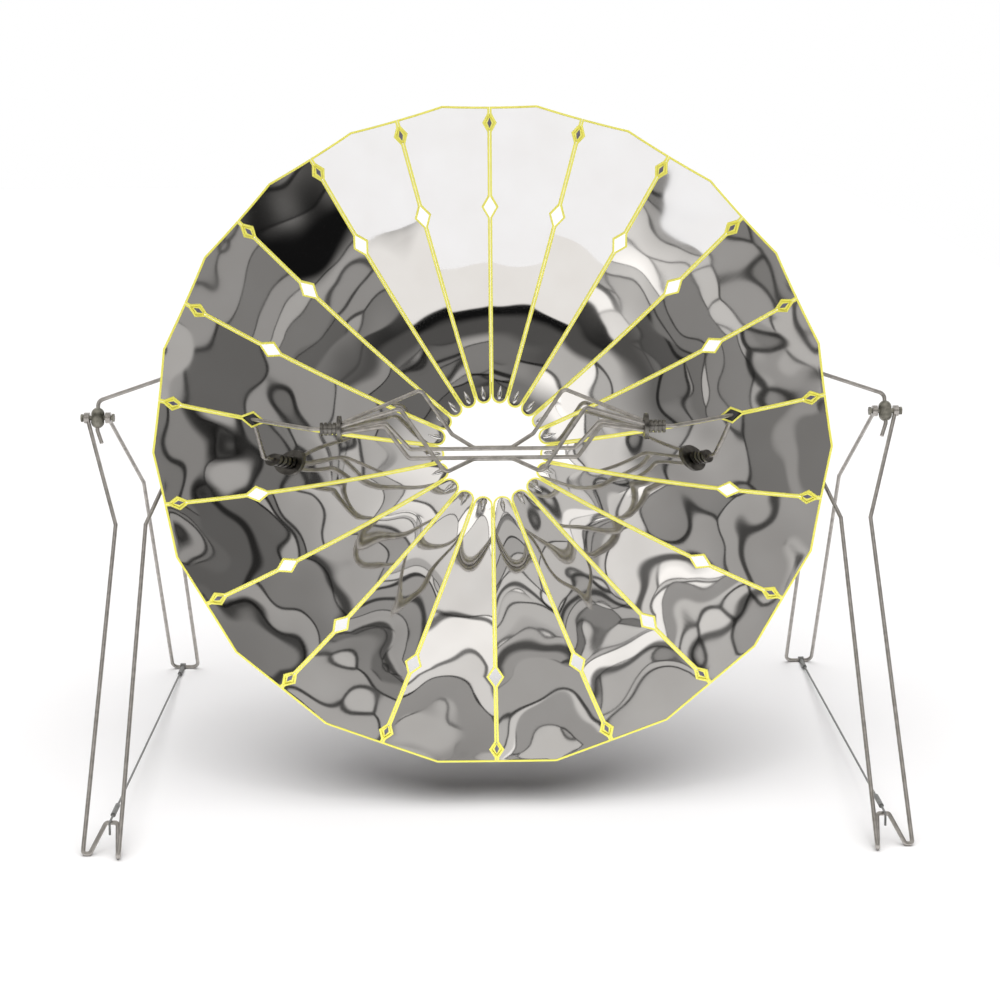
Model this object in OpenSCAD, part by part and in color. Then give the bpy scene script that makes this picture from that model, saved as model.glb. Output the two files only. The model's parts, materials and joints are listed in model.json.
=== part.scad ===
// Parabolic solar cooker: a mirror fan of petals hung on two bent wire arms between folding wire stands.
// All sizes in millimetres. +Z is up, +X runs along the tilt axis and the dish faces -Y.
// The origin lies on the ground, in the middle of the footprint.

/* [Dish] */
// Diameter across the corners of the rim
rim_d = 666; // [600:2:740]
// Focal length of the paraboloid
focal = 222; // [190:1:260]
// Diameter of the open centre, across the petal tips
hole_d = 100; // [80:1:120]
// Height of the dish axis above the horizon at rest, in degrees
aim = 26; // [22:1:30]
// Crowding of the petals towards the top of the fan, in degrees
crowding = 4.6; // [0:0.1:6]
// Slit between neighbouring petals
petal_slit = 0.4; // [0.3:0.1:1]
// Thickness of the yellow blade, along the dish axis
blade_t = 0.9; // [0.6:0.1:1.6]
// Thickness of the mirror facing, along the dish axis
mirror_t = 0.5; // [0.3:0.1:1]
// Width of the blade border left bare round the mirror
border = 2; // [1:0.1:3]

/* [Diamond notches] */
// Distance of the small notches inside the corners of the rim
small_in = 17; // [15:0.5:22]
// Length of a small notch along its seam
small_len = 15; // [12:0.5:18]
// Width of a small notch
small_w = 10; // [8:0.5:12]
// Distance of the large notches from the axis
large_r = 243; // [225:1:260]
// Length of a large notch along its seam
large_len = 20; // [16:0.5:24]
// Width of a large notch
large_w = 13; // [11:0.5:16]

/* [Hub and clips] */
// Radial width of the hub ring behind the petal tips
hub_w = 12; // [10:0.5:16]
// Thickness of the hub ring
hub_t = 2; // [1.5:0.1:4]
// Diameter of a rivet stem
rivet_d = 3; // [2:0.1:4]
// Width of the long rivet head on a petal tip
rivet_head_w = 5; // [4:0.1:6]
// Length of that head along the petal
rivet_head_len = 15; // [12:0.5:16]
// Height of that head
rivet_head_h = 1.2; // [0.8:0.1:2]
// Diameter of the rim clip's plate behind the blades
clip_d = 17; // [16:0.5:22]
// Thickness of the rim clip's plate
clip_t = 1.6; // [1:0.1:3]
// How far a clip's diamond stands out of the mirror
clip_proud = 0.8; // [0.2:0.1:2]
// Width of the slit in a clip's diamond
clip_slit = 3.4; // [2:0.1:5]
// Depth of that slit
clip_slit_depth = 1.2; // [0.6:0.1:1.6]

/* [Stands] */
// Diameter of the leg and arm wire
wire_d = 4; // [3:0.1:5]
// Height of the tilt axis above the ground
pivot_z = 337; // [320:1:355]
// Lean of the front legs from upright, in degrees
front_lean = 41.1; // [37:0.1:45]
// Lean of the upper part of the rear legs, in degrees
rear_lean = 42; // [38:1:46]
// Lean of the lower part of the rear legs, in degrees
rear_foot_lean = 23.8; // [20:0.1:30]
// Length of a leg from the tilt axis to its knee
knee = 118; // [105:1:130]
// Distance of the outer leg wires from the middle plane
leg_outer_x = 367; // [362:1:375]
// Distance of the inner leg wires from the middle plane
leg_inner_x = 338; // [330:1:343]
// Distance of the outer front feet from the middle plane
foot_outer_x = 372; // [366:1:378]
// How far the inner front foot stands ahead of the line of the feet, and the outer one behind it
foot_skew = 6.5; // [0:0.5:20]
// Distance of the front legs' inner eyes from the middle plane
inner_eye_x = 297; // [294:1:300]
// Width of an eye along the tilt axis
eye_w = 5; // [4:0.1:6]
// Wall of an eye
eye_wall = 3; // [2:0.1:4]
// Rise of the notch in the front feet
notch_rise = 31; // [21:1:41]
// Width of that notch at its top
notch_w = 10.5; // [9:0.5:12]
// Distance of that notch from the inner leg wire
notch_in = 4; // [2:0.5:6]
// Bend radius of the wires
bend_r = 7; // [5:0.5:9]
// Tight bend radius at the front feet
foot_r = 3; // [2.6:0.1:3.4]

/* [Knuckles and arms] */
// Distance of the knuckle barrels from the middle plane
knuckle_x = 394; // [388:1:400]
// Diameter of a knuckle barrel
barrel_d = 13; // [11:0.5:15]
// Length of a knuckle barrel
barrel_len = 21; // [17:1:27]
// Diameter of the pivot spigot on a knuckle
spigot_d = 5; // [4:0.1:6]
// Tilt axis behind the rim, measured along the dish axis
pivot_back = 39.7; // [37:0.1:44]
// Tilt axis above the dish axis, measured in the rim plane
pivot_up = 18; // [15:0.5:20]
// Stub of the arm wire below its barrel
stub = 14; // [10:1:24]
// Slant of that stub towards the middle, in degrees
stub_slant = 20; // [10:1:30]
// Rise of the arm wire over the tilt axis, behind the rim
arm_rise = 42; // [36:1:48]
// Straight run of the arm wire behind its notch
arm_back = 24; // [20:1:30]

/* [Ties] */
// Diameter of the tie wire
tie_d = 2; // [1.5:0.1:2.6]
// Diameter of the sleeves at the ends of a tie
tie_sleeve_d = 4.6; // [4:0.1:6]
// Wall of a tie's hook on the rear foot
tie_wall = 2; // [1.5:0.1:2.5]
// Length of those sleeves
tie_sleeve = 24; // [16:1:32]

/* [Pot cradle] */
// Half distance between the cradle swivels
swivel_x = 150; // [140:1:160]
// Height of the swivel axis along the dish axis, from the vertex
swivel_h = 100; // [95:1:105]
// Diameter of the swivel flange
flange_d = 26; // [24:0.5:30]
// Thickness of the swivel flange
flange_t = 4; // [3:0.5:6]
// Diameter of the swivel barrel
swivel_d = 13; // [11:0.5:16]
// Length of the swivel barrel
swivel_len = 17; // [15:0.5:20]
// Drop of the pot bars below the swivel axis
bar_drop = 26; // [22:1:30]
// Distance between the two pot bars
bar_gap = 38; // [34:1:44]
// Length of the straight run of a pot bar
bar_len = 166; // [150:1:180]
// Reach of the bar ends past the straight run
bar_shoulder = 24; // [20:1:30]
// Half width of the front bow at its shoulders
front_shoulder_x = 91; // [84:1:98]
// Distance of those shoulders in front of the swivel axis
front_shoulder_y = 14; // [10:1:18]
// Height of those shoulders above the swivel axis
front_shoulder_z = 23; // [18:1:28]
// Half width of the front bow at its dips
front_dip_x = 47; // [42:1:52]
// Distance of those dips in front of the swivel axis
front_dip_y = 46; // [40:1:52]
// Depth of those dips below the pot bars
front_dip_z = 8; // [5:1:11]
// Half width of the rear bow at its shoulders
rear_shoulder_x = 72; // [66:1:78]
// Distance of those shoulders behind the swivel axis
rear_shoulder_y = 42; // [36:1:48]
// Height of those shoulders above the swivel axis
rear_shoulder_z = 30; // [25:1:35]
// Half width of the rear bow at its dips
rear_dip_x = 41; // [37:1:45]
// Distance of those dips behind the swivel axis
rear_dip_y = 32; // [28:1:36]
// Depth of those dips below the swivel axis
rear_dip_z = 14; // [10:1:18]
// Half length of the flat middle of both bows
bow_flat = 19; // [16:1:22]
// Bend radius of the cradle wires
cradle_bend = 6; // [5:0.5:7]
// Diameter of the cradle wire
cradle_d = 4; // [3:0.1:4.4]

/* [Clearances] */
// Radial running clearance of an eye or a bore
run_gap = 0.05; // [0.03:0.01:0.09]
// Gap between pieces that lie on each other
seat_gap = 0.15; // [0.1:0.01:0.25]
// Side gap between eyes on one pin
side_gap = 1.5; // [1:0.1:2]

/* [Hidden] */
$fn = 48;
petals = 20;

yellow = "#e8dc5a";
steel = "#5c5750";
olive = "#4a4a38";
black = "#2a2a2a";

rim_r = rim_d / 2;
hole_r = hole_d / 2;
wire_r = wire_d / 2;
profile_steps = 14;
tip_steps = 7;
rim_h = bowl(rim_r);
small_r = rim_r - small_in;
pivot_h = rim_h - pivot_back;
blade_top = -mirror_t - seat_gap;
blade_bottom = blade_top - blade_t;
tie_ring_r = wire_r + run_gap + tie_wall;

// Depth of the paraboloid at distance r from its axis
function bowl(r) = r * r / (4 * focal);
// Slope of the paraboloid at distance r, in degrees
function bowl_slope(r) = atan(r / (2 * focal));
// Direction of seam k, counted clockwise from the top of the dish
function seam(k) = 90 - (360 / petals * k - crowding * sin(360 / petals * k));
// Middle direction and half width of petal k, which lies clockwise of seam k
function petal_mid(k) = (seam(k) + seam(k + 1)) / 2;
function petal_half(k) = (seam(k) - seam(k + 1)) / 2;
function polar(r, a) = [r * cos(a), r * sin(a)];

// Vectors and bent wires
bend_lap = 0.4;
bend_swell = 0.12;
function unit(v) = v / norm(v);
function side_of(z) = unit(cross(abs(z[2]) < 0.9 ? [0, 0, 1] : [1, 0, 0], z));
function turn(a, b, c) = acos(max(-1, min(1, unit(b - a) * unit(c - b))));
function flip_x(points) = [for (p = points) [-p[0], p[1], p[2]]];

module place(origin, x, z) {
    y = cross(z, x);
    multmatrix([
        [x[0], y[0], z[0], origin[0]],
        [x[1], y[1], z[1], origin[1]],
        [x[2], y[2], z[2], origin[2]],
        [0, 0, 0, 1]
    ]) children();
}

module aim_z(origin, z) {
    place(origin, side_of(unit(z)), unit(z)) children();
}

module rod(a, b, d) {
    aim_z(a, b - a) cylinder(h = norm(b - a), d = d);
}

// A round wire through the points, with arcs of radius r at its corners.
// The straight runs lap into the arcs, which swell a little as bent wire does.
module wire(points, d, r) {
    last = len(points) - 1;
    turns = [for (i = [0:last]) i == 0 || i == last ? 0 : turn(points[i - 1], points[i], points[i + 1])];
    trims = [for (t = turns) t == 0 ? 0 : r * tan(t / 2) - bend_lap];
    for (i = [0:last - 1]) {
        along = unit(points[i + 1] - points[i]);
        rod(points[i] + along * trims[i], points[i + 1] - along * trims[i + 1], d);
    }
    for (i = [1:last - 1]) {
        before = unit(points[i] - points[i - 1]);
        after = unit(points[i + 1] - points[i]);
        axis = unit(cross(before, after));
        inward = cross(axis, before);
        place(points[i] - before * (trims[i] + bend_lap) + inward * r, -inward, axis)
            rotate_extrude(angle = turns[i]) translate([r, 0]) circle(d = d + bend_swell);
    }
}

// Frames of the dish and of the stands
front_reach = (pivot_z - wire_r) * tan(front_lean);
knee_rear = [0, knee * sin(rear_lean), -knee * cos(rear_lean)];
rear_foot = [0, knee_rear[1] + (pivot_z - wire_r + knee_rear[2]) * tan(rear_foot_lean), wire_r - pivot_z];
front_edge = front_reach + foot_skew + foot_r + wire_r - foot_r * tan(45 + front_lean / 2);
pivot_y = (front_edge - rear_foot[1] - tie_ring_r) / 2;

module at_pivot() {
    translate([0, pivot_y, pivot_z]) children();
}

module in_dish() {
    at_pivot() rotate([90 - aim, 0, 0]) translate([0, -pivot_up, -pivot_h]) children();
}

module both_sides(side) {
    if (side < 0) mirror([1, 0, 0]) children();
    else children();
}

// Plan outline of a petal, drawn in by inset: a round tip, two seam edges and the corner of the rim
module petal_outline(k, inset) {
    half = petal_half(k);
    mid = petal_mid(k);
    edge = petal_slit / 2 + inset;
    tip_r = hole_r / (1 - sin(half));
    round_r = tip_r * sin(half) - edge;
    far = rim_r * 1.1;
    difference() {
        intersection() {
            polygon(concat(
                [for (i = [-tip_steps:tip_steps])
                    polar(tip_r, mid) - polar(round_r, mid + i * (90 - half) / tip_steps)],
                [polar(far, seam(k + 1)) + polar(edge, seam(k + 1) + 90)],
                [polar(far, seam(k)) - polar(edge, seam(k) + 90)]
            ));
            polygon([for (i = [0:petals - 1]) polar(rim_r - inset, petal_mid(i))]);
        }
        for (i = [k, k + 1]) {
            notch(seam(i), small_r, small_len, small_w, inset);
            notch(seam(i), large_r, large_len, large_w, inset);
        }
    }
}

// A diamond on a seam, grown by the border that stays bare round it
module notch(angle, r, length, width, grow) {
    flat = length * width / (2 * sqrt(length * length + width * width));
    share = (flat + grow) / flat;
    translate(polar(r, angle)) rotate(angle)
        polygon([[length / 2, 0], [0, width / 2], [-length / 2, 0], [0, -width / 2]] * share);
}

// A slice of the bowl between two levels, wide enough for petal k
module bowl_slice(k, low, high) {
    inner = hole_r * 0.9;
    outer = rim_r * 1.02;
    radii = [for (i = [0:profile_steps]) inner + (outer - inner) * i / profile_steps];
    span = 2 * petal_half(k) + 8;
    rotate(petal_mid(k) - span / 2) rotate_extrude(angle = span)
        polygon(concat(
            [for (r = radii) [r, bowl(r) + low]],
            [for (i = [profile_steps:-1:0]) [radii[i], bowl(radii[i]) + high]]
        ));
}

rivet_r = hole_r / (1 - sin(180 / petals)) + hub_w / 2 + 1;

// Frame on the bowl at distance r and direction angle, with Z along the surface normal
module on_bowl(r, angle) {
    rotate(angle) translate([r, 0, bowl(r)]) rotate([0, -bowl_slope(r), 0]) children();
}

module petal_solid(k, low, high, inset) {
    in_dish() difference() {
        intersection() {
            linear_extrude(height = 2 * rim_h, center = true) petal_outline(k, inset);
            bowl_slice(k, low, high);
        }
        on_bowl(rivet_r, petal_mid(k)) cylinder(h = 30, d = rivet_d + 2 * seat_gap, center = true);
    }
}

module petal(k) {
    color(yellow) petal_solid(k, blade_bottom, blade_top, 0);
}

module mirror_face(k) {
    color("silver") petal_solid(k, -mirror_t, 0, border);
}

module hub_ring() {
    inner = rivet_r - hub_w / 2;
    outer = rivet_r + hub_w / 2;
    color(steel) in_dish() difference() {
        rotate_extrude() polygon([
            [inner, bowl(inner) + blade_bottom - seat_gap],
            [outer, bowl(outer) + blade_bottom - seat_gap],
            [outer, bowl(outer) + blade_bottom - seat_gap - hub_t],
            [inner, bowl(inner) + blade_bottom - seat_gap - hub_t]
        ]);
        for (k = [0:petals - 1])
            on_bowl(rivet_r, petal_mid(k)) cylinder(h = 30, d = rivet_d + 2 * seat_gap, center = true);
    }
}

// Rivets with a long rounded head that points towards the open centre
module tip_rivets() {
    grip = hub_t - blade_bottom + 3 * seat_gap;
    rounds = rivet_head_len - rivet_head_w;
    color(steel) in_dish() for (k = [0:petals - 1])
        on_bowl(rivet_r, petal_mid(k)) {
            translate([0, 0, -grip]) cylinder(h = grip + 3 * seat_gap, d = rivet_d);
            translate([0, 0, 2 * seat_gap]) cylinder(h = rivet_head_h, d = rivet_head_w);
            translate([-rounds, 0, 2 * seat_gap]) cylinder(h = rivet_head_h, d = rivet_head_w);
            translate([-rounds, -rivet_head_w / 2 + seat_gap, 2 * seat_gap])
                cube([rounds, rivet_head_w - 2 * seat_gap, rivet_head_h]);
            translate([0, 0, -grip - rivet_head_h / 2]) cylinder(h = rivet_head_h / 2, d = rivet_head_w);
        }
}

// Clips that hold neighbouring blades together through the small notches, each with a blind slit
module rim_clips() {
    play = 2 * seat_gap;
    share = 1 - 4 * play / small_w;
    slit_share = clip_slit / small_w;
    below = play - blade_bottom * cos(bowl_slope(small_r));
    color(yellow) in_dish() for (k = [0:petals - 1])
        on_bowl(small_r, seam(k)) difference() {
            union() {
                translate([0, 0, -below - clip_t]) cylinder(h = clip_t, d = clip_d);
                translate([0, 0, -below - clip_t / 2]) linear_extrude(height = below + clip_t / 2 + clip_proud)
                    scale(share) notch(0, 0, small_len, small_w, 0);
            }
            translate([0, 0, clip_proud - clip_slit_depth]) linear_extrude(height = 2 * clip_slit_depth)
                scale(slit_share) notch(0, 0, small_len, small_w, 0);
        }
}

// Arms: from the stub, through the knuckle, behind the rim, along the inner journal,
// straight through the large notch and out to the swivel of the cradle
arm_seam = 5;
eye_offset = barrel_d / 2 + side_gap + eye_w / 2;
front_eye_x = knuckle_x + eye_offset;
rear_eye_x = knuckle_x - eye_offset;
stub_turn = pivot_up - barrel_len / 2 - bend_r / 3;
notch_point = [large_r * cos(seam(arm_seam)), large_r * sin(seam(arm_seam)), bowl(large_r)];
journal_out = inner_eye_x + 1.5 * eye_w + side_gap + bend_r + 3;
journal_in = inner_eye_x - eye_w / 2 - bend_r - 3;
swivel_start = swivel_x + flange_t + 1;
arm_turn = [swivel_start + swivel_len + bend_r + 1, 1, swivel_h];
arm_run = unit(arm_turn - notch_point);
arm_points = [
    [knuckle_x - stub * sin(stub_slant), stub_turn - stub * cos(stub_slant), pivot_h],
    [knuckle_x, stub_turn, pivot_h],
    [knuckle_x, pivot_up + barrel_len / 2 + bend_r, pivot_h],
    [journal_out + bend_r + 1, pivot_up + arm_rise, pivot_h],
    [journal_out, pivot_up, pivot_h],
    [journal_in, pivot_up, pivot_h],
    notch_point - arm_run * arm_back,
    arm_turn,
    [swivel_start, 1, swivel_h]
];

module arm(side) {
    color(steel) in_dish() both_sides(side) wire(arm_points, wire_d, bend_r);
}

// Knuckle: a round-ended barrel gripped on the arm, with a spigot on each side for the outer eyes
module knuckle(side) {
    spigot_len = barrel_d / 2 + eye_w + 2 * side_gap;
    round_y = (barrel_len - barrel_d) / 2;
    head_t = 2;
    waist_d = barrel_d - 0.4;
    color(olive) in_dish() both_sides(side) translate([knuckle_x, pivot_up, pivot_h]) difference() {
        union() {
            rotate([90, 0, 0]) cylinder(h = 2 * round_y, d = waist_d, center = true);
            for (y = [-round_y, round_y]) translate([0, y, 0]) sphere(d = barrel_d);
            rotate([0, 90, 0]) cylinder(h = 2 * spigot_len, d = spigot_d, center = true);
            for (x = [-1, 1]) translate([x * spigot_len, 0, 0]) rotate([0, 90 * x, 0])
                cylinder(h = head_t, d = spigot_d + eye_wall);
        }
        rotate([90, 0, 0]) cylinder(h = barrel_len * 2, d = wire_d + 2 * run_gap, center = true);
    }
}

// Grommet: fills the large notch round the arm, with a round lip behind the blades
module grommet(side) {
    play = 2 * seat_gap;
    proud = 0.6;
    lip_t = 2;
    share = 1 - 4 * play / large_w;
    below = play - blade_bottom * cos(bowl_slope(large_r));
    color(black) in_dish() both_sides(side) difference() {
        on_bowl(large_r, seam(arm_seam)) {
            translate([0, 0, -below - lip_t]) cylinder(h = lip_t, d = large_len + 6);
            translate([0, 0, -below - lip_t / 2]) linear_extrude(height = below + lip_t / 2 + proud)
                scale(share) notch(0, 0, large_len, large_w, 0);
        }
        aim_z(notch_point - arm_run * arm_back, arm_run) cylinder(h = 2 * arm_back, d = wire_d + 2 * run_gap);
    }
}

// Eye: a short sleeve on the tilt axis
module eye(x, bore) {
    translate([x, 0, 0]) rotate([0, 90, 0]) cylinder(h = eye_w, d = bore + 2 * eye_wall, center = true);
}

module eye_bore(x, bore) {
    translate([x, 0, 0]) rotate([0, 90, 0]) cylinder(h = eye_w * 3, d = bore + 2 * run_gap, center = true);
}

// Points of the front leg at distance s down from the tilt axis, and its notch
front_len = (pivot_z - wire_r) / cos(front_lean);
notch_x = leg_inner_x + notch_in;
function front_point(x, s) = [x, -s * sin(front_lean), -s * cos(front_lean)];
function notch_top(x) = front_point(x, front_len - notch_rise);

// Front leg: one wire from eye to eye. The inner foot doubles back behind its leg up to the notch,
// and from there the wire slopes down to the outer foot.
module front_leg(side) {
    toe = foot_r * 2.1;
    heel = foot_r * 3;
    inner_foot = front_point(leg_inner_x, front_len) - [0, foot_skew, 0];
    outer_foot = front_point(foot_outer_x, front_len) + [0, foot_skew, 0];
    path = [
        front_point(front_eye_x, 0), front_point(leg_outer_x, knee), outer_foot, outer_foot - [toe, 0, 0],
        notch_top(notch_x + notch_w), notch_top(notch_x), inner_foot + [notch_in / 2, heel, 0], inner_foot,
        front_point(leg_inner_x, knee), front_point(inner_eye_x, 0)
    ];
    color(steel) at_pivot() both_sides(side) difference() {
        union() {
            wire(path, wire_d, foot_r);
            eye(front_eye_x, spigot_d);
            eye(inner_eye_x, wire_d);
        }
        eye_bore(front_eye_x, spigot_d);
        eye_bore(inner_eye_x, wire_d);
    }
}

// Rear leg: one wire from eye to eye, bent at the knee and closed by a flat foot
module rear_leg(side) {
    inner_x = inner_eye_x + eye_w + side_gap;
    path = [
        [rear_eye_x, 0, 0], knee_rear + [leg_outer_x, 0, 0], rear_foot + [leg_outer_x, 0, 0],
        rear_foot + [leg_inner_x, 0, 0], knee_rear + [leg_inner_x, 0, 0], [inner_x, 0, 0]
    ];
    color(steel) at_pivot() both_sides(side) difference() {
        union() {
            wire(path, wire_d, bend_r);
            eye(rear_eye_x, spigot_d);
            eye(inner_x, wire_d);
        }
        eye_bore(rear_eye_x, spigot_d);
        eye_bore(inner_x, wire_d);
    }
}

// Tie: an open hook that turns on the rear foot, a wire, and a hook over the notch of the front foot
module tie(side) {
    rear_end = rear_foot + [leg_outer_x - bend_r - tie_sleeve_d, 0, 0];
    hook_run = 9;
    hook_drop = 11;
    over = wire_r + tie_d / 2 + 2 * seat_gap;
    above = notch_top(notch_x + notch_w * 0.55) + [0, 1, over];
    run = unit(above - rear_end);
    from_ring = rear_end + run * (tie_ring_r - tie_wall / 2);
    bend = above + run * hook_run;
    color(black) at_pivot() both_sides(side) difference() {
        union() {
            translate(rear_end) rotate([0, 90, 0]) cylinder(h = tie_sleeve_d + 1, r = tie_ring_r, center = true);
            rod(from_ring, from_ring + run * tie_sleeve, tie_sleeve_d);
            rod(above - run * (tie_sleeve + hook_run), above - run * hook_run, tie_sleeve_d);
            wire([from_ring + run * tie_sleeve / 2, bend, bend - [0, 2, hook_drop]], tie_d, tie_d);
        }
        translate(rear_end) rotate([0, 90, 0])
            cylinder(h = tie_sleeve_d * 3, d = wire_d + 2 * run_gap, center = true);
        translate(rear_end - [0, 0, tie_ring_r + wire_r / 2])
            cube([tie_sleeve_d * 3, tie_ring_r * 4, tie_ring_r * 2], center = true);
    }
}

// Pot cradle: level at rest, hung between the two swivels
swivel_y = pivot_up - 1;
module in_cradle() {
    at_pivot() rotate([90 - aim, 0, 0]) translate([0, -swivel_y, swivel_h - pivot_h]) rotate([aim - 90, 0, 0])
        children();
}

cradle_end = swivel_x - seat_gap;
bow_side = cradle_d + seat_gap;
end_y = cradle_d + seat_gap;

function across(half) = concat(half, [for (i = [len(half) - 1:-1:0]) [-half[i][0], half[i][1], half[i][2]]]);

module cradle_bars() {
    color(steel) in_cradle() for (s = [-1, 1])
        wire(across([
            [-cradle_end, s * end_y, -3], [-bar_len / 2 - bar_shoulder, s * 2 * end_y, cradle_d],
            [-bar_len / 2, s * bar_gap / 2, -bar_drop]
        ]), cradle_d, cradle_bend);
}

module cradle_front_bow() {
    color(steel) in_cradle() wire(across([
        [-cradle_end, -1.5 * end_y, cradle_d], [-front_shoulder_x, -front_shoulder_y, front_shoulder_z],
        [-front_dip_x, -front_dip_y, -bar_drop - front_dip_z],
        [-bow_flat, -bar_gap / 2 - bow_side, -bar_drop]
    ]), cradle_d, cradle_bend);
}

module cradle_rear_bow() {
    color(steel) in_cradle() wire(across([
        [-cradle_end, 1.5 * end_y, cradle_d], [-rear_shoulder_x, rear_shoulder_y, rear_shoulder_z],
        [-rear_dip_x, rear_dip_y, -rear_dip_z],
        [-bow_flat, bar_gap / 2 + bow_side, -bar_drop]
    ]), cradle_d, cradle_bend);
}

// Swivel: a grooved barrel that turns on the end of the arm, with a flange for the cradle wires
module swivel(side) {
    grooves = 4;
    pitch = swivel_len / grooves;
    color(olive) in_cradle() both_sides(side) translate([swivel_x, 0, 0]) rotate([0, 90, 0]) difference() {
        union() {
            cylinder(h = flange_t, d = flange_d);
            cylinder(h = flange_t + swivel_len, d = swivel_d - 3);
            for (i = [0:grooves - 1])
                translate([0, 0, flange_t + pitch * (i + 0.35)]) cylinder(h = pitch * 0.65, d = swivel_d);
        }
        translate([0, 0, flange_t + 1 - run_gap]) cylinder(h = swivel_len + 20, d = wire_d + 2 * run_gap);
    }
}

for (k = [0:petals - 1]) {
    petal(k);
    mirror_face(k);
}
hub_ring();
tip_rivets();
rim_clips();
arm(-1);  // left_arm
arm(1);  // right_arm
knuckle(-1);  // left_knuckle
knuckle(1);  // right_knuckle
grommet(-1);  // left_grommet
grommet(1);  // right_grommet
front_leg(-1);  // left_front_leg
front_leg(1);  // right_front_leg
rear_leg(-1);  // left_rear_leg
rear_leg(1);  // right_rear_leg
tie(-1);  // left_tie
tie(1);  // right_tie
cradle_bars();
cradle_front_bow();
cradle_rear_bow();
swivel(-1);  // left_swivel
swivel(1);  // right_swivel
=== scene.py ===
import json
import math

import bpy
import numpy as np
from mathutils import Matrix


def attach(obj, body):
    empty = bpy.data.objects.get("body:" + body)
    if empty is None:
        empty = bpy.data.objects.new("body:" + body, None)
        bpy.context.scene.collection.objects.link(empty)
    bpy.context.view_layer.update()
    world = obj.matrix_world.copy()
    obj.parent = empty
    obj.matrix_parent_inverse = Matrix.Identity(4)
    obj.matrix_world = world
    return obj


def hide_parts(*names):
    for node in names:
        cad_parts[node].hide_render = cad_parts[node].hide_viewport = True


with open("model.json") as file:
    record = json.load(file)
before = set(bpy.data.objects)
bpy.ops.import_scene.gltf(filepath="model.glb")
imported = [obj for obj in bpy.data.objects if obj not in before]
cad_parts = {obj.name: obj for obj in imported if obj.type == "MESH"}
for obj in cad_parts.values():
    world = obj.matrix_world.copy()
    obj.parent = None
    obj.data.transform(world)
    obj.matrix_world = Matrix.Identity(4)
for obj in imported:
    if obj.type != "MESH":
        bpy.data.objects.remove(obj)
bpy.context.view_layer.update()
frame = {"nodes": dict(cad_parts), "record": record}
nodes = frame["nodes"]

# Sizes of the dish, in metres and degrees, as in the part's source
RIM_R = 0.333
FOCAL = 0.222
HOLE_R = 0.050
AIM = 26.0
PETALS = 20
PITCH = 360 / PETALS
CROWDING = 4.6
BLADE_GAP = 0.0004
BORDER = 0.002
SHEET_T = 0.0005
RIVET_R = HOLE_R / (1 - math.sin(math.pi / PETALS)) + 0.007
# Diamonds between the blades: place from the middle, length and width
SMALL_NOTCH = (RIM_R - 0.017, 0.015, 0.010)
LARGE_NOTCH = (0.243, 0.020, 0.013)
# The tilt axis in the world, and its place in the dish's own frame
PIVOT = (0.0, 0.052529, 0.337)
PIVOT_IN_DISH = (0.0, 0.018, RIM_R ** 2 / (4 * FOCAL) - 0.0397)


# Shader nodes

def new_material(name):
    mat = bpy.data.materials.new(name)
    mat.use_nodes = True
    tree = mat.node_tree
    return mat, tree, tree.nodes["Principled BSDF"]


def ramp_node(tree, stops, value):
    """A colour ramp over the value. Each stop is a place and a colour."""
    ramp = tree.nodes.new("ShaderNodeValToRGB")
    elements = ramp.color_ramp.elements
    while len(elements) < len(stops):
        elements.new(0.5)
    for element, (place, colour) in zip(elements, stops):
        element.position = place
        element.color = (*colour, 1.0)
    tree.links.new(value, ramp.inputs["Fac"])
    return ramp.outputs["Color"]


def coords_node(tree, kind):
    return tree.nodes.new("ShaderNodeTexCoord").outputs[kind]


def noise_node(tree, vector, scale, detail):
    noise = tree.nodes.new("ShaderNodeTexNoise")
    noise.inputs["Scale"].default_value = scale
    noise.inputs["Detail"].default_value = detail
    tree.links.new(vector, noise.inputs["Vector"])
    return noise.outputs


def range_node(tree, value, low, high, source=(0.0, 1.0)):
    """The value carried from the source range to the range from low to high."""
    change = tree.nodes.new("ShaderNodeMapRange")
    change.inputs["From Min"].default_value = source[0]
    change.inputs["From Max"].default_value = source[1]
    change.inputs["To Min"].default_value = low
    change.inputs["To Max"].default_value = high
    tree.links.new(value, change.inputs["Value"])
    return change.outputs["Result"]


def smooth_step(tree, value, edge):
    """0 before the edge and 1 after it. An edge that runs backwards gives 1 before it."""
    step = range_node(tree, value, 0.0, 1.0, edge)
    step.node.interpolation_type = "SMOOTHSTEP"
    return step


def bump_node(tree, height, strength, distance, shader):
    bump = tree.nodes.new("ShaderNodeBump")
    bump.inputs["Strength"].default_value = strength
    bump.inputs["Distance"].default_value = distance
    tree.links.new(height, bump.inputs["Height"])
    tree.links.new(bump.outputs["Normal"], shader.inputs["Normal"])


def math_node(tree, operation, *values):
    node = tree.nodes.new("ShaderNodeMath")
    node.operation = operation
    for socket, value in zip(node.inputs, values):
        if isinstance(value, float):
            socket.default_value = value
        else:
            tree.links.new(value, socket)
    return node.outputs["Value"]


def mix_node(tree, factor, first, second):
    """The first colour where the factor is 0, and the second where it is 1."""
    node = tree.nodes.new("ShaderNodeMix")
    node.data_type = "RGBA"
    for name, value in (("Factor", factor), ("A", first), ("B", second)):
        socket = [each for each in node.inputs if each.name == name and each.enabled][0]
        if isinstance(value, tuple):
            socket.default_value = value
        else:
            tree.links.new(value, socket)
    return [each for each in node.outputs if each.enabled][0]


def scale_colour(tree, colour, value):
    scaled = tree.nodes.new("ShaderNodeVectorMath")
    scaled.operation = "SCALE"
    tree.links.new(colour, scaled.inputs[0])
    tree.links.new(value, scaled.inputs["Scale"])
    return scaled.outputs["Vector"]


# Materials

GRAIN_STOPS = (0.3, 0.7)
GRAIN_DETAIL = 5.0
GRAIN_DEPTH = 0.0004


def two_tones(tree, colours, grain):
    return ramp_node(tree, list(zip(GRAIN_STOPS, colours)), grain)


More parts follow.
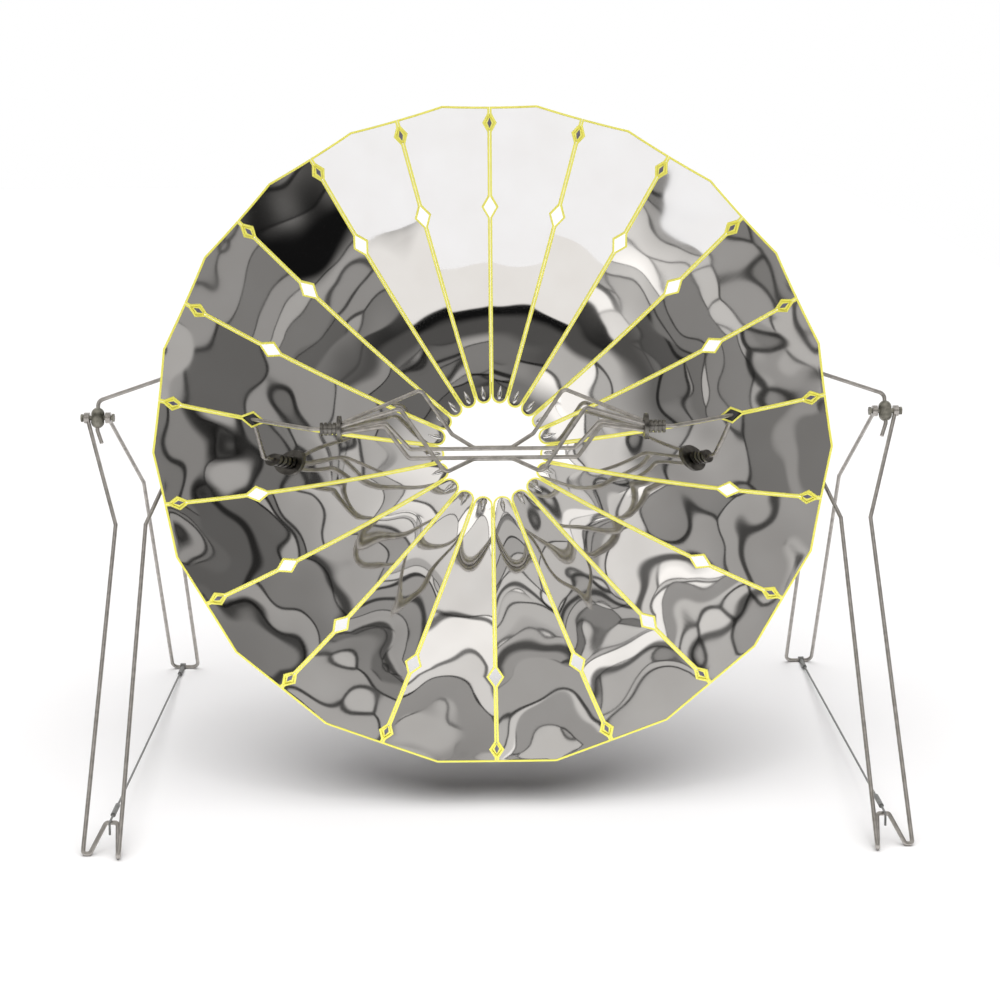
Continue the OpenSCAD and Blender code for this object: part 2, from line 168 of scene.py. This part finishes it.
def speckled(name, colours, rough, metallic, scale, bump):
    """A finish that varies between two colours, with a fine grain."""
    mat, tree, shader = new_material(name)
    grain = noise_node(tree, coords_node(tree, "Object"), scale, GRAIN_DETAIL)["Fac"]
    tree.links.new(two_tones(tree, colours, grain), shader.inputs["Base Color"])
    tree.links.new(range_node(tree, grain, *rough), shader.inputs["Roughness"])
    shader.inputs["Metallic"].default_value = metallic
    bump_node(tree, grain, bump, GRAIN_DEPTH, shader)
    return mat


YELLOW = ((0.96, 0.90, 0.15), (0.99, 0.94, 0.20))
BLADE_BACK = ((0.13, 0.125, 0.125), (0.18, 0.175, 0.175))
BLADE_ROUGH = (0.42, 0.55)
# A face of a blade that looks further away from the dish's aim than this is a back
BACK_LIMIT = -0.5


def make_blade_material():
    """Lemon yellow to the front and on the edges, bare grey behind."""
    mat, tree, shader = new_material("lemon_sheet")
    grain = noise_node(tree, coords_node(tree, "Object"), 90.0, GRAIN_DETAIL)["Fac"]
    facing = tree.nodes.new("ShaderNodeVectorMath")
    facing.operation = "DOT_PRODUCT"
    tree.links.new(coords_node(tree, "Normal"), facing.inputs[0])
    facing.inputs[1].default_value = (0.0, -math.cos(math.radians(AIM)), math.sin(math.radians(AIM)))
    behind = math_node(tree, "LESS_THAN", facing.outputs["Value"], BACK_LIMIT)
    colour = mix_node(tree, behind, two_tones(tree, YELLOW, grain), two_tones(tree, BLADE_BACK, grain))
    tree.links.new(colour, shader.inputs["Base Color"])
    tree.links.new(range_node(tree, grain, *BLADE_ROUGH), shader.inputs["Roughness"])
    bump_node(tree, grain, 0.05, GRAIN_DEPTH, shader)
    return mat


MIRROR = ((0.79, 0.785, 0.78), (0.815, 0.815, 0.815))
MIRROR_ROUGH = (0.015, 0.05)
WAVE_STRENGTH = 0.35
WAVE_DEPTH = 0.0035


def make_mirror_material():
    """Polished sheet with slight waves."""
    mat, tree, shader = new_material("mirror_sheet")
    haze = noise_node(tree, coords_node(tree, "Object"), 26.0, 2.0)["Fac"]
    tree.links.new(two_tones(tree, MIRROR, haze), shader.inputs["Base Color"])
    shader.inputs["Metallic"].default_value = 1.0
    tree.links.new(range_node(tree, haze, *MIRROR_ROUGH), shader.inputs["Roughness"])
    wave = noise_node(tree, coords_node(tree, "Object"), 11.0, 1.0)["Fac"]
    bump_node(tree, wave, WAVE_STRENGTH, WAVE_DEPTH, shader)
    return mat


yellow = make_blade_material()
mirror = make_mirror_material()
steel = speckled("drawn_wire", colours=((0.37, 0.35, 0.325), (0.55, 0.525, 0.495)),
                 rough=(0.26, 0.42), metallic=0.85, scale=160.0, bump=0.15)
olive = speckled("olive_paint", colours=((0.055, 0.054, 0.040), (0.36, 0.345, 0.29)),
                 rough=(0.32, 0.5), metallic=0.35, scale=110.0, bump=0.3)
dark = speckled("dark_steel", colours=((0.10, 0.095, 0.088), (0.26, 0.25, 0.23)),
                rough=(0.25, 0.42), metallic=1.0, scale=140.0, bump=0.25)
black = speckled("black_plastic", colours=((0.020, 0.020, 0.021), (0.045, 0.045, 0.046)),
                 rough=(0.4, 0.55), metallic=0.0, scale=200.0, bump=0.2)
tie_grey = speckled("tie_wire", colours=((0.13, 0.13, 0.126), (0.22, 0.22, 0.212)),
                    rough=(0.35, 0.5), metallic=0.3, scale=200.0, bump=0.15)
stud_steel = speckled("pressed_stud", colours=((0.70, 0.69, 0.68), (0.84, 0.84, 0.84)),
                      rough=(0.06, 0.14), metallic=1.0, scale=120.0, bump=0.05)
# Painted shade: a dark finish for the pieces that stand in for the shade inside the rim clips' slits
slit_shade_paint = speckled("painted_slit_shade", colours=((0.10, 0.095, 0.14), (0.20, 0.19, 0.25)),
                     rough=(0.4, 0.6), metallic=0.0, scale=150.0, bump=0.1)


# The dish's own frame: its middle at the origin, its axis along Z

def seam(k):
    """Direction of the seam before petal k, in degrees."""
    turn = PITCH * k
    return 90 - (turn - CROWDING * math.sin(math.radians(turn)))


def petal_mid(k):
    return (seam(k) + seam(k + 1)) / 2


def bowl(r):
    """Height of the paraboloid at a distance from its axis."""
    return r * r / (4 * FOCAL)


def turn_in_dish(vectors, angle):
    """Vectors turned about the dish's axis."""
    return np.stack([
        vectors[:, 0] * math.cos(angle) - vectors[:, 1] * math.sin(angle),
        vectors[:, 0] * math.sin(angle) + vectors[:, 1] * math.cos(angle),
        vectors[:, 2],
    ], axis=1)


def turn_to_world(vectors):
    """Directions in the dish's frame as they stand in the world."""
    turn = math.radians(90 - AIM)
    y = vectors[:, 1]
    z = vectors[:, 2]
    return np.stack([
        vectors[:, 0],
        y * math.cos(turn) - z * math.sin(turn),
        y * math.sin(turn) + z * math.cos(turn),
    ], axis=1)


def dish_to_world(points):
    return turn_to_world(points - np.array(PIVOT_IN_DISH)) + np.array(PIVOT)


def add_object(mesh, mat):
    mesh.materials.append(mat)
    added = bpy.data.objects.new(mesh.name, mesh)
    bpy.context.scene.collection.objects.link(added)
    return added


# Mirror sheets: smooth, with the outline of the mirror facings

COLUMNS = 21
TIP_ROWS = 8
ROW_STEP = 0.003
# Places closer together than this many digits tell apart are one place
DIGITS = 7

# How a sheet differs from the paraboloid: its curve across the petal as a share of the bowl's, the extra
# slope in the middle of the lowest petal, and ripples that grow from the top of the dish to its bottom
CURVE_ACROSS = 0.12
LOW_BULGE = 0.05
RIPPLE_AT_TOP = 0.28
RIPPLE_GROWTH = 0.36
PHASE_STEP = 1.7
# Ripples: slope, radians per metre along and across the petal, share of the petal's phase
RIPPLES_ALONG = ((0.018, 38, 55, 1.0), (0.008, 95, -80, 2.3))
RIPPLES_ACROSS = ((0.024, 30, 0, 1.9), (0.012, 74, 90, 1.0))


def edge_line(half, neighbour):
    """Corners of one long edge of a petal, from its tip to the middle of its rim edge."""
    edge = BLADE_GAP / 2 + BORDER
    along = np.array([math.cos(half), math.sin(half)])
    inward = np.array([math.sin(half), -math.cos(half)])
    tip_r = HOLE_R / (1 - math.sin(half))
    round_r = tip_r * math.sin(half) - edge
    points = [np.array([tip_r, 0.0]) - inward * round_r]
    for r, length, width in (LARGE_NOTCH, SMALL_NOTCH):
        flat = length * width / (2 * math.hypot(length, width))
        share = (flat + BORDER) / flat
        reach = length / 2 * share
        depth = width / 2 * share
        cut = reach * (1 - edge / depth)
        points.append(along * (r - cut) + inward * edge)
        points.append(along * r + inward * depth)
        points.append(along * (r + cut) + inward * edge)
    rim = RIM_R - BORDER
    corner = np.array([rim, 0.0])
    other = rim * np.array([math.cos(neighbour), math.sin(neighbour)])
    start = inward * edge
    share = np.linalg.solve(np.stack([along, corner - other], axis=1), corner - start)
    points.append(start + along * share[0])
    points.append(corner)
    return np.array(points), tip_r, round_r


def petal_rows(k):
    """Places along the middle line of petal k, with its half widths on both sides there."""
    half = math.radians((seam(k) - seam(k + 1)) / 2)
    sides = []
    for other in (k - 1, k + 1):
        gap = math.radians(abs(petal_mid(other) - petal_mid(k)))
        line, tip_r, round_r = edge_line(half, gap)
        sides.append(line)
    start = tip_r - round_r
    tangent = sides[0][0][0]
    places = [start + (tangent - start) * (i / TIP_ROWS) ** 2 for i in range(TIP_ROWS + 1)]
    corners = np.concatenate([line[:, 0] for line in sides])
    stops = sorted(set(round(float(place), DIGITS) for place in corners))
    for low, high in zip(stops[:-1], stops[1:]):
        count = max(1, math.ceil((high - low) / ROW_STEP))
        places.extend(low + (high - low) * (i + 1) / count for i in range(count))
    places = np.array(sorted(set(round(place, DIGITS) for place in places)))
    widths = []
    for line in sides:
        arc = np.sqrt(np.maximum(0.0, round_r ** 2 - (places - tip_r) ** 2))
        widths.append(np.where(places < tangent, arc, np.interp(places, line[:, 0], line[:, 1])))
    return places, widths[0], widths[1]


def sheet_grid(k):
    """Places of a sheet's points along and across petal k, their shares of its half width, and its rows."""
    places, left, right = petal_rows(k)
    rows = len(places) - 2
    share = np.linspace(-1.0, 1.0, COLUMNS)
    across = np.where(share >= 0, share * left[1:-1, None], share * right[1:-1, None])
    x = np.concatenate([places[:1], np.repeat(places[1:-1], COLUMNS), places[-1:]])
    y = np.concatenate([[0.0], across.ravel(), [0.0]])
    shares = np.concatenate([[0.0], np.tile(share, rows), [0.0]])
    return x, y, shares, rows


def sheet_faces(rows):
    """Faces of a sheet's front, and the loop of points round its edge."""
    starts = [1 + r * COLUMNS for r in range(rows)]
    ends = [start + COLUMNS - 1 for start in starts]
    last = ends[-1] + 1
    faces = []
    for c in range(COLUMNS - 1):
        faces.append((0, starts[0] + c, starts[0] + c + 1))
        faces.append((last, starts[-1] + c + 1, starts[-1] + c))
    for start in starts[:-1]:
        for a in range(start, start + COLUMNS - 1):
            faces.append((a, a + COLUMNS, a + COLUMNS + 1, a + 1))
    return faces, [0] + starts + [last] + ends[::-1]


def sheet_normals(k, x, y, shares):
    """Directions in which the front of petal k reflects: a bent strip, nearly flat across, a little wavy."""
    depth = 1 - math.sin(math.radians(petal_mid(k)))
    phase = PHASE_STEP * k
    ripple = RIPPLE_AT_TOP + RIPPLE_GROWTH * depth
    along = x / (2 * FOCAL) + LOW_BULGE * (depth / 2) ** 2 * (1 - shares ** 2)
    across = CURVE_ACROSS * y / (2 * FOCAL)
    for slope, by_x, by_y, by_phase in RIPPLES_ALONG:
        along = along + ripple * slope * np.sin(by_x * x + by_y * y + by_phase * phase)
    for slope, by_x, by_y, by_phase in RIPPLES_ACROSS:
        across = across + ripple * slope * np.sin(by_x * x + by_y * y + by_phase * phase)
    normals = np.stack([-along, -across, np.ones(len(x))], axis=1)
    normals /= np.linalg.norm(normals, axis=1)[:, None]
    return turn_to_world(turn_in_dish(normals, math.radians(petal_mid(k))))


def make_sheet(k):
    x, y, shares, rows = sheet_grid(k)
    front, loop = sheet_faces(rows)
    total = len(x)
    back = [tuple(point + total for point in reversed(face)) for face in front]
    sides = [(b, a, a + total, b + total) for a, b in zip(loop, loop[1:] + loop[:1])]
    top = turn_in_dish(np.stack([x, y, bowl(np.hypot(x, y))], axis=1), math.radians(petal_mid(k)))
    points = dish_to_world(np.concatenate([top, top - np.array([0, 0, SHEET_T])]))
    mesh = bpy.data.meshes.new(f"mirror_sheet_{k + 1}")
    mesh.from_pydata(points.tolist(), [], front + back + sides)
    mesh.validate()
    mesh.polygons.foreach_set("use_smooth", [True] * len(mesh.polygons))
    normals = sheet_normals(k, x, y, shares)
    corner_normals = []
    for polygon in mesh.polygons:
        for corner in polygon.loop_indices:
            if polygon.index < len(front):
                corner_normals.append(normals[mesh.loops[corner].vertex_index].tolist())
            else:
                corner_normals.append(tuple(polygon.normal))
    mesh.normals_split_custom_set(corner_normals)
    sheet = add_object(mesh, mirror)
    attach(sheet, "dish")
    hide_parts(f"mirror_{k + 1}")


for petal in range(PETALS):
    make_sheet(petal)


# Small pieces on the bowl

STUD_LEN = 0.015
STUD_W = 0.005
STUD_H = 0.0014
STUD_ROWS = 14
STUD_SIDES = 16
# From the rivet's middle outwards to the stud's end, and from the bowl up to the stud's flat side
STUD_END = 0.0025
STUD_SEAT = 0.0003
# Powers that shape the drop: below 1, the first moves its widest place inwards and the second makes it fuller
STUD_SKEW = 0.72
STUD_FULL = 0.75
# The flat head behind the hub ring: radius and height over the bowl of each ring of points
BACK_HEAD = ((0.0015, -0.0035), (0.0026, -0.0039), (0.0026, -0.0044), (0.0016, -0.0049))
# A clip's slit, drawn as a dark piece of painted shade: its shares of the small diamond's length and width,
# its top and bottom over the bowl
SLIT_LONG = 0.74
SLIT_WIDE = 0.44
SLIT_HEIGHTS = (0.00085, 0.00065)


def bowl_frame(r, degrees):
    """Place, direction outwards, direction across and normal of the bowl, in the dish's own frame."""
    angle = math.radians(degrees)
    slope = math.atan(r / (2 * FOCAL))
    ring = np.array([math.cos(angle), math.sin(angle), 0.0])
    up = np.array([0.0, 0.0, 1.0])
    place = ring * r + up * bowl(r)
    out = ring * math.cos(slope) + up * math.sin(slope)
    across = np.array([-math.sin(angle), math.cos(angle), 0.0])
    return place, out, across, up * math.cos(slope) - ring * math.sin(slope)


def add_piece(name, points, faces, mat, smooth):
    """A piece on the dish, from points in the dish's own frame."""
    mesh = bpy.data.meshes.new(name)
    mesh.from_pydata(dish_to_world(np.array(points)).tolist(), [], faces)
    mesh.validate()
    mesh.polygons.foreach_set("use_smooth", [smooth] * len(mesh.polygons))
    piece = add_object(mesh, mat)
    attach(piece, "dish")
    return piece


def stud_angles():
    return [2 * math.pi * j / STUD_SIDES for j in range(STUD_SIDES)]


def stud_head(place, out, across, normal, first):
    """Points and faces of a drop-shaped head, whose first point has the given number."""
    start = STUD_END - STUD_LEN
    points = []
    for i in range(1, STUD_ROWS):
        share = i / STUD_ROWS
        swell = math.sin(math.pi * share ** STUD_SKEW) ** STUD_FULL
        centre = place + out * (start + STUD_LEN * share)
        for angle in stud_angles():
            lift = max(0.0, math.sin(angle)) * STUD_H * swell + STUD_SEAT
            points.append(centre + across * STUD_W / 2 * swell * math.cos(angle) + normal * lift)
    tip = first + len(points)
    points.append(place + out * start + normal * STUD_SEAT)
    points.append(place + out * STUD_END + normal * STUD_SEAT)
    end = first + (STUD_ROWS - 2) * STUD_SIDES
    faces = []
    for j in range(STUD_SIDES):
        after = (j + 1) % STUD_SIDES
        faces.append((tip, first + after, first + j))
        faces.append((tip + 1, end + j, end + after))
        for a in range(first, end, STUD_SIDES):
            faces.append((a + j, a + after, a + STUD_SIDES + after, a + STUD_SIDES + j))
    return points, faces


def stud_back(place, out, across, normal, first):
    """Points and faces of a flat head behind the hub ring, whose first point has the given number."""
    points = []
    for radius, height in BACK_HEAD:
        for angle in stud_angles():
            spoke = out * radius * math.cos(angle) + across * radius * math.sin(angle)
            points.append(place + spoke + normal * height)
    end = first + (len(BACK_HEAD) - 1) * STUD_SIDES
    faces = []
    for a in range(first, end, STUD_SIDES):
        for j in range(STUD_SIDES):
            after = (j + 1) % STUD_SIDES
            faces.append((a + j, a + STUD_SIDES + j, a + STUD_SIDES + after, a + after))
    faces.append(tuple(first + j for j in range(STUD_SIDES)))
    faces.append(tuple(end + j for j in reversed(range(STUD_SIDES))))
    return points, faces


def make_studs():
    """Drop-shaped rivet heads on the petal tips, with flat heads behind the hub ring."""
    points = []
    faces = []
    for k in range(PETALS):
        for shape in (stud_head, stud_back):
            more_points, more_faces = shape(*bowl_frame(RIVET_R, petal_mid(k)), len(points))
            points.extend(more_points)
            faces.extend(more_faces)
    studs = add_piece("tip_studs", points, faces, stud_steel, True)
    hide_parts("tip_rivets")


def make_slit_shades():
    """Dark pieces on the rim clips: painted shade in their slits."""
    r, length, width = SMALL_NOTCH
    half_long = length / 2 * SLIT_LONG
    half_wide = width / 2 * SLIT_WIDE
    points = []
    faces = []
    for k in range(PETALS):
        place, out, across, normal = bowl_frame(r, seam(k))
        first = len(points)
        for height in SLIT_HEIGHTS:
            for x, y in ((half_long, 0), (0, half_wide), (-half_long, 0), (0, -half_wide)):
                points.append(place + out * x + across * y + normal * height)
        faces.append(tuple(first + i for i in range(4)))
        faces.append(tuple(first + 7 - i for i in range(4)))
        for i in range(4):
            after = (i + 1) % 4
            faces.append((first + after, first + i, first + 4 + i, first + 4 + after))
    add_piece("clip_slit_shades", points, faces, slit_shade_paint, False)


make_studs()
make_slit_shades()


# Finishes of the shown solids

FINISH = {
    "yellow_blade": yellow,
    "mirror_face": mirror,
    "steel_wire": steel,
    "olive_knuckle": olive,
    "dark_steel": dark,
    "black_plastic": black,
}
TIES = ("left_tie", "right_tie")
for part in frame["record"]["subparts"]:
    shown = nodes[part["node"]]
    shown.data.materials.clear()
    shown.data.materials.append(tie_grey if part["node"] in TIES else FINISH[part["material_slot"]])


# Floor

FLOOR_X = (-2.3, 1.5)
FLOOR_Y = (-14.0, 6.0)
FLOOR_COLOUR = (0.93, 0.92, 0.92, 1.0)


def make_floor():
    """A pale sheet on the ground."""
    left, right = FLOOR_X
    near, far = FLOOR_Y
    mesh = bpy.data.meshes.new("floor")
    mesh.from_pydata([(left, near, 0), (right, near, 0), (right, far, 0), (left, far, 0)], [], [(0, 1, 2, 3)])
    mat, _, shader = new_material("white_floor")
    shader.inputs["Base Color"].default_value = FLOOR_COLOUR
    shader.inputs["Roughness"].default_value = 0.9
    shader.inputs["Specular IOR Level"].default_value = 0.0
    add_object(mesh, mat)


# World: white for the camera, a made-up room for reflections, and a faint fill light

# Brightness of the walls, the ceiling and the low strip: place from left to right, and tone
WALL_TONES = ((0.05, 0.36), (0.22, 0.26), (0.27, 0.75), (0.38, 0.85),
              (0.42, 0.14), (0.60, 0.22), (0.95, 0.25))
CEILING_TONES = ((0.10, 0.34), (0.34, 0.78), (0.55, 0.75), (0.84, 0.25))
STRIP_TONES = ((0.20, 0.38), (0.28, 0.92), (0.68, 0.92), (0.71, 0.30))
ACROSS_SPAN = (-0.88, 1.12)
# Two dark beams that cross the room from side to side: place from behind the camera to ahead, and tone
BEAM_TONES = ((0.36, 1.0), (0.372, 0.15), (0.390, 0.15), (0.402, 0.88),
              (0.61, 0.88), (0.622, 0.15), (0.640, 0.15), (0.652, 0.66))
AHEAD_SPAN = (-0.4, 0.4)
# The greys' faint warmth
WARMTH = (1.06, 1.023, 0.981)
# How the room's lines are bent
SWAY_SCALE = 3.0
SWAY = (0.24, 0.24, 0.20)
# Panels: size, edges of their dark joints, tone of the joints, range of the panels' tones
LARGE_PANELS = (4.6, (0.010, 0.026), 0.10, (0.50, 1.66))
SMALL_PANELS = (13.0, (0.012, 0.035), 0.15, (0.45, 1.75))
# Where the small panels are seen
CLUTTER_SCALE = 4.0
CLUTTER_EDGE = (0.52, 0.55)
# Edges of the room's parts, as parts of the direction's length
CEILING_EDGE = (0.62, 0.71)
SIDE_RISE = 0.20
STRIP_EDGE = (0.084, 0.092)
ARCH_EDGE = (0.118, 0.150)
GREY_BAND_EDGE = (0.19, 0.23)
ASIDE_EDGE = (0.34, 0.46)
FAR_ASIDE_EDGE = (0.50, 0.62)
DOOR_LEFT = (0.50, 0.54)
DOOR_RIGHT = (0.80, 0.74)
DOOR_TOP = (0.16, 0.10)
WHITE_EDGE = (0.34, 0.46)
GREY_BAND = 0.085
DARK_GAP = (0.007, 0.007, 0.007, 1.0)
WHITE = (1.0, 1.0, 1.0, 1.0)
FILL_COLOUR = (1.0, 0.95, 0.94, 1.0)
FILL_STRENGTH = 0.035


def grey(value):
    return tuple(value * part for part in WARMTH)


def grey_ramp(tree, tones, value):
    return ramp_node(tree, [(place, grey(tone)) for place, tone in tones], value)


def seen_rays(tree):
    """1 for the rays that show the surroundings: from the camera, off a mirror or through glass."""
    path = tree.nodes.new("ShaderNodeLightPath")
    direct = math_node(tree, "MAXIMUM", path.outputs["Is Camera Ray"], path.outputs["Is Glossy Ray"])
    return math_node(tree, "MAXIMUM", direct, path.outputs["Is Transmission Ray"])


def parts_of(tree, vector):
    parts = tree.nodes.new("ShaderNodeSeparateXYZ")
    tree.links.new(vector, parts.inputs["Vector"])
    return parts.outputs


def sway_vector(tree, towards):
    """The direction, bent a little by a slow noise."""
    shift = tree.nodes.new("ShaderNodeVectorMath")
    shift.operation = "MULTIPLY_ADD"
    shift.inputs[1].default_value = SWAY
    tree.links.new(noise_node(tree, towards, SWAY_SCALE, 1.0)["Color"], shift.inputs[0])
    tree.links.new(towards, shift.inputs[2])
    return shift.outputs["Vector"]


def panels(tree, vector, scale, joint, darkest, tones):
    """Brightness of irregular panels of mixed tones, with dark joints between them."""
    joints = tree.nodes.new("ShaderNodeTexVoronoi")
    joints.feature = "DISTANCE_TO_EDGE"
    tone = tree.nodes.new("ShaderNodeTexVoronoi")
    for cells in (joints, tone):
        cells.inputs["Scale"].default_value = scale
        tree.links.new(vector, cells.inputs["Vector"])
    panel = range_node(tree, smooth_step(tree, joints.outputs["Distance"], joint), darkest, 1.0)
    shade = range_node(tree, parts_of(tree, tone.outputs["Color"])["X"], *tones)
    return math_node(tree, "MULTIPLY", shade, panel)


def only_where(tree, mask, value):
    """The value where the mask is 1, and 1 where it is 0."""
    inside = math_node(tree, "MULTIPLY", mask, value)
    return math_node(tree, "ADD", inside, math_node(tree, "SUBTRACT", 1.0, mask))


def room_colour(tree, towards):
    """The room by direction, from low to high: strip, dark arch, grey band, walls and ceiling.

    It is white ahead, and in every direction for the camera.
    """
    bent = sway_vector(tree, towards)
    straight = parts_of(tree, towards)
    swayed = parts_of(tree, bent)
    across = range_node(tree, swayed["X"], 0.0, 1.0, ACROSS_SPAN)
    along = range_node(tree, swayed["Y"], 0.0, 1.0, AHEAD_SPAN)
    sideways = math_node(tree, "ABSOLUTE", straight["X"])
    rise = math_node(tree, "SUBTRACT", straight["Z"], math_node(tree, "MULTIPLY", sideways, SIDE_RISE))
    aside = smooth_step(tree, sideways, ASIDE_EDGE)
    far_aside = smooth_step(tree, sideways, FAR_ASIDE_EDGE)

    small_panels = panels(tree, bent, *SMALL_PANELS)
    cluttered = smooth_step(tree, noise_node(tree, towards, CLUTTER_SCALE, 1.0)["Fac"], CLUTTER_EDGE)
    beams = ramp_node(tree, [(place, (tone, tone, tone)) for place, tone in BEAM_TONES], along)
    lit = math_node(tree, "MULTIPLY", panels(tree, bent, *LARGE_PANELS), beams)
    lit = math_node(tree, "MULTIPLY", lit, only_where(tree, cluttered, small_panels))
    walls = grey_ramp(tree, WALL_TONES, across)
    ceiling = grey_ramp(tree, CEILING_TONES, across)
    room = mix_node(tree, smooth_step(tree, swayed["Z"], CEILING_EDGE), walls, ceiling)
    room = scale_colour(tree, room, lit)

    above_band = math_node(tree, "MAXIMUM", smooth_step(tree, rise, GREY_BAND_EDGE), far_aside)
    room = mix_node(tree, above_band, (*grey(GREY_BAND), 1.0), room)
    above_arch = math_node(tree, "MAXIMUM", smooth_step(tree, rise, ARCH_EDGE), aside)
    room = mix_node(tree, above_arch, DARK_GAP, room)

    doorway = math_node(tree, "MULTIPLY", smooth_step(tree, swayed["X"], DOOR_LEFT),
                        smooth_step(tree, swayed["X"], DOOR_RIGHT))
    doorway = math_node(tree, "MULTIPLY", doorway, smooth_step(tree, swayed["Z"], DOOR_TOP))
    low = scale_colour(tree, grey_ramp(tree, STRIP_TONES, across), only_where(tree, aside, small_panels))
    low = mix_node(tree, doorway, low, DARK_GAP)
    room = mix_node(tree, smooth_step(tree, rise, STRIP_EDGE), low, room)
    camera_rays = tree.nodes.new("ShaderNodeLightPath").outputs["Is Camera Ray"]
    white = math_node(tree, "MAXIMUM", smooth_step(tree, straight["Y"], WHITE_EDGE), camera_rays)
    return mix_node(tree, white, room, WHITE)


def make_world():
    """White or the room for the rays that show the surroundings, and plain fill light for the others."""
    world = bpy.data.worlds.new("studio")
    bpy.context.scene.world = world
    world.use_nodes = True
    tree = world.node_tree
    tree.nodes.clear()
    studio = tree.nodes.new("ShaderNodeBackground")
    tree.links.new(room_colour(tree, coords_node(tree, "Generated")), studio.inputs["Color"])
    fill = tree.nodes.new("ShaderNodeBackground")
    fill.inputs["Color"].default_value = FILL_COLOUR
    fill.inputs["Strength"].default_value = FILL_STRENGTH
    both = tree.nodes.new("ShaderNodeMixShader")
    tree.links.new(seen_rays(tree), both.inputs["Fac"])
    tree.links.new(fill.outputs["Background"], both.inputs[1])
    tree.links.new(studio.outputs["Background"], both.inputs[2])
    out = tree.nodes.new("ShaderNodeOutputWorld")
    tree.links.new(both.outputs["Shader"], out.inputs["Surface"])


# Lamps and camera

def add_sun(name, energy, spread, turn):
    """A sun with a spread and a turn in degrees, which the mirror doesn't show."""
    data = bpy.data.lights.new(name, "SUN")
    data.energy = energy
    data.angle = math.radians(spread)
    lamp = bpy.data.objects.new(name, data)
    lamp.rotation_euler = [math.radians(degrees) for degrees in turn]
    lamp.visible_glossy = False
    bpy.context.scene.collection.objects.link(lamp)


# The camera as fitted to the photo: place from the pivot in metres, turns in degrees, lens in millimetres
CAMERA_FROM_PIVOT = (-0.0177, -1.7605, 0.3917)
CAMERA_HEADING = -0.8
CAMERA_PITCH = 74.73
CAMERA_ROLL = -0.35
LENS = 64.8
SENSOR = 36.0


def make_camera():
    data = bpy.data.cameras.new("camera")
    data.lens = LENS
    data.sensor_width = SENSOR
    camera = bpy.data.objects.new("camera", data)
    camera.location = [place + shift for place, shift in zip(PIVOT, CAMERA_FROM_PIVOT)]
    heading = Matrix.Rotation(math.radians(CAMERA_HEADING), 3, "Z")
    pitch = Matrix.Rotation(math.radians(CAMERA_PITCH), 3, "X")
    roll = Matrix.Rotation(math.radians(CAMERA_ROLL), 3, "Z")
    camera.rotation_euler = (heading @ pitch @ roll).to_euler()
    bpy.context.scene.collection.objects.link(camera)
    bpy.context.scene.camera = camera


make_floor()
make_world()
add_sun("overhead", energy=0.12, spread=8, turn=(3, 2, 0))
add_sun("overhead_soft", energy=3.4, spread=90, turn=(2, 1, 0))
add_sun("front", energy=1.38, spread=30, turn=(92, 0, 0))
make_camera()
bpy.context.scene.view_settings.view_transform = "Standard"
